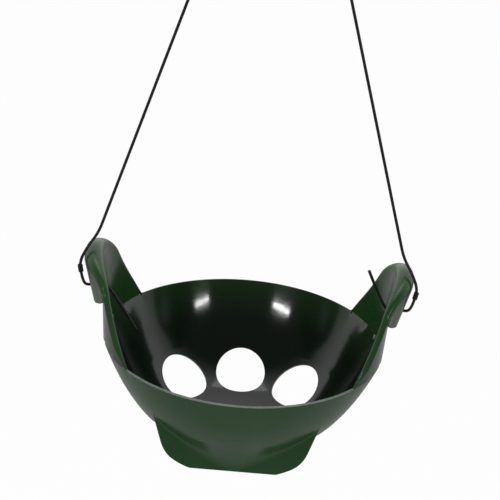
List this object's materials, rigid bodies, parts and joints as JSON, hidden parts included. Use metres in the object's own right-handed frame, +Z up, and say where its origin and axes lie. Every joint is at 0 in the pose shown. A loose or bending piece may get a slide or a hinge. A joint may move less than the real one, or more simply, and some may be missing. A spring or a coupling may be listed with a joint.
{
  "type": "toddler bucket swing",
  "caption": "Glossy bowl-shaped toddler swing seat with rolled ears, round wall holes and a front tongue, hung by cords from ceiling eyes.",
  "frame": {"origin": "in the ceiling plane, midway between the two eye plates", "axes": "X from ear to ear, -Y the front where the tongue hangs, +Z up"},
  "size_m": [0.4078, 0.34, 0.637],
  "materials": {
    "shell_plastic": "gloss",
    "black_cord": "braided",
    "plated_steel": "satin"
  },
  "bodies": {
    "ceiling_fittings": {"left_ceiling_plate": "plated_steel", "left_ceiling_eye": "plated_steel", "right_ceiling_plate": "plated_steel", "right_ceiling_eye": "plated_steel"},
    "suspension": {"left_cord": "black_cord", "left_top_loop": "black_cord", "left_top_knot": "black_cord", "left_stopper_knot": "black_cord", "left_cord_wrap": "black_cord", "right_cord": "black_cord", "right_top_loop": "black_cord", "right_top_knot": "black_cord", "right_stopper_knot": "black_cord", "right_cord_wrap": "black_cord"},
    "seat": {"seat_shell": "shell_plastic"}
  },
  "joints": [
    {"name": "swing", "type": "hinge", "parent": "ceiling_fittings", "child": "suspension", "pos_m": [0, 0, -0.0109], "axis": [1, 0, 0], "range_deg": [-45, 45]},
    {"name": "tilt", "type": "hinge", "parent": "suspension", "child": "seat", "pos_m": [0, 0, -0.453], "axis": [1, 0, 0], "range_deg": [-15, 15]}
  ]
}
